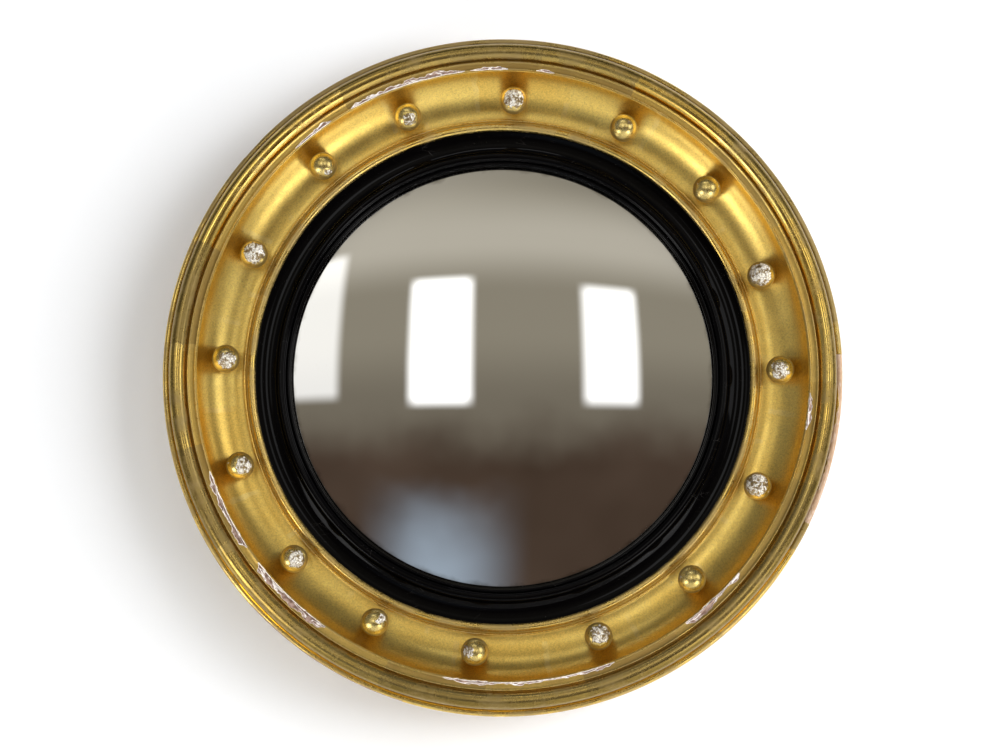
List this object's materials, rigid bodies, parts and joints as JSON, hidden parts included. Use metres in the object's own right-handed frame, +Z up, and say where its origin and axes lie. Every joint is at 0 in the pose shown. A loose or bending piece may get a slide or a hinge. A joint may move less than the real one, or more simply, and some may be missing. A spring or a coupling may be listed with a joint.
{
  "type": "convex butlers mirror",
  "caption": "Round convex wall mirror in a gilded moulded frame, with balls set in its cove, a black reeded slip, a planked back and a hanging ring.",
  "frame": {"origin": "centre of the round back, on the outer face of the middle backboard plank, on the frame's axis", "axes": "+Z up as it hangs, +X to the right of someone looking into the mirror, +Y out of the back towards the wall, so the glass faces -Y"},
  "size_m": [0.56, 0.0722, 0.56],
  "materials": {
    "gilt_moulding": "water-gilded over bole and gesso, rubbed",
    "gilt_ball": "gilded, leaf crinkled and worn on the crown",
    "ebonised_wood": "black, french polished",
    "silvered_glass": "silvered on the back",
    "washed_pine": "ochre wash, aged",
    "block_pine": "planed, hide glue",
    "board_pine": "planed, aged, bare",
    "felt": "pressed wool felt",
    "iron": "dull iron",
    "brass": "toned brass"
  },
  "bodies": {
    "frame": {"back_segment_1": "washed_pine", "back_segment_2": "washed_pine", "back_segment_3": "washed_pine", "back_segment_4": "washed_pine", "back_segment_5": "washed_pine", "back_segment_6": "washed_pine", "back_segment_7": "washed_pine", "back_segment_8": "washed_pine", "backboard_batten_left": "board_pine", "backboard_batten_right": "board_pine", "backboard_bottom": "board_pine", "backboard_middle": "board_pine", "backboard_top": "board_pine", "ball_01": "gilt_ball", "ball_02": "gilt_ball", "ball_03": "gilt_ball", "ball_04": "gilt_ball", "ball_05": "gilt_ball", "ball_06": "gilt_ball", "ball_07": "gilt_ball", "ball_08": "gilt_ball", "ball_09": "gilt_ball", "ball_10": "gilt_ball", "ball_11": "gilt_ball", "ball_12": "gilt_ball", "ball_13": "gilt_ball", "ball_14": "gilt_ball", "ball_15": "gilt_ball", "ball_16": "gilt_ball", "ball_pins": "iron", "batten_nails": "iron", "convex_glass": "silvered_glass", "ebonised_slip": "ebonised_wood", "front_segment_1": "gilt_moulding", "front_segment_2": "gilt_moulding", "front_segment_3": "gilt_moulding", "front_segment_4": "gilt_moulding", "front_segment_5": "gilt_moulding", "front_segment_6": "gilt_moulding", "front_segment_7": "gilt_moulding", "front_segment_8": "gilt_moulding", "glass_packing": "felt", "glazing_blocks": "block_pine", "hanger_screws": "brass", "hanger_strap": "brass", "turn_button_screws": "brass", "wall_pad_left": "felt", "wall_pad_right": "felt"},
    "hanging_ring": {"hanging_ring": "brass"},
    "turn_button_upper_right": {"turn_button_upper_right": "brass"},
    "turn_button_upper_left": {"turn_button_upper_left": "brass"},
    "turn_button_lower_left": {"turn_button_lower_left": "brass"},
    "turn_button_lower_right": {"turn_button_lower_right": "brass"}
  },
  "joints": [
    {"name": "ring_swing", "type": "hinge", "parent": "frame", "child": "hanging_ring", "pos_m": [0, 0.0042, 0.24], "axis": [1, 0, 0], "range_deg": [0, 180]},
    {"name": "turn_upper_right", "type": "hinge", "parent": "frame", "child": "turn_button_upper_right", "pos_m": [0.16051, 0.00145, 0.16051], "axis": [0, 1, 0], "continuous": true},
    {"name": "turn_upper_left", "type": "hinge", "parent": "frame", "child": "turn_button_upper_left", "pos_m": [-0.16051, 0.00145, 0.16051], "axis": [0, 1, 0], "continuous": true},
    {"name": "turn_lower_left", "type": "hinge", "parent": "frame", "child": "turn_button_lower_left", "pos_m": [-0.16051, 0.00145, -0.16051], "axis": [0, 1, 0], "continuous": true},
    {"name": "turn_lower_right", "type": "hinge", "parent": "frame", "child": "turn_button_lower_right", "pos_m": [0.16051, 0.00145, -0.16051], "axis": [0, 1, 0], "continuous": true}
  ]
}
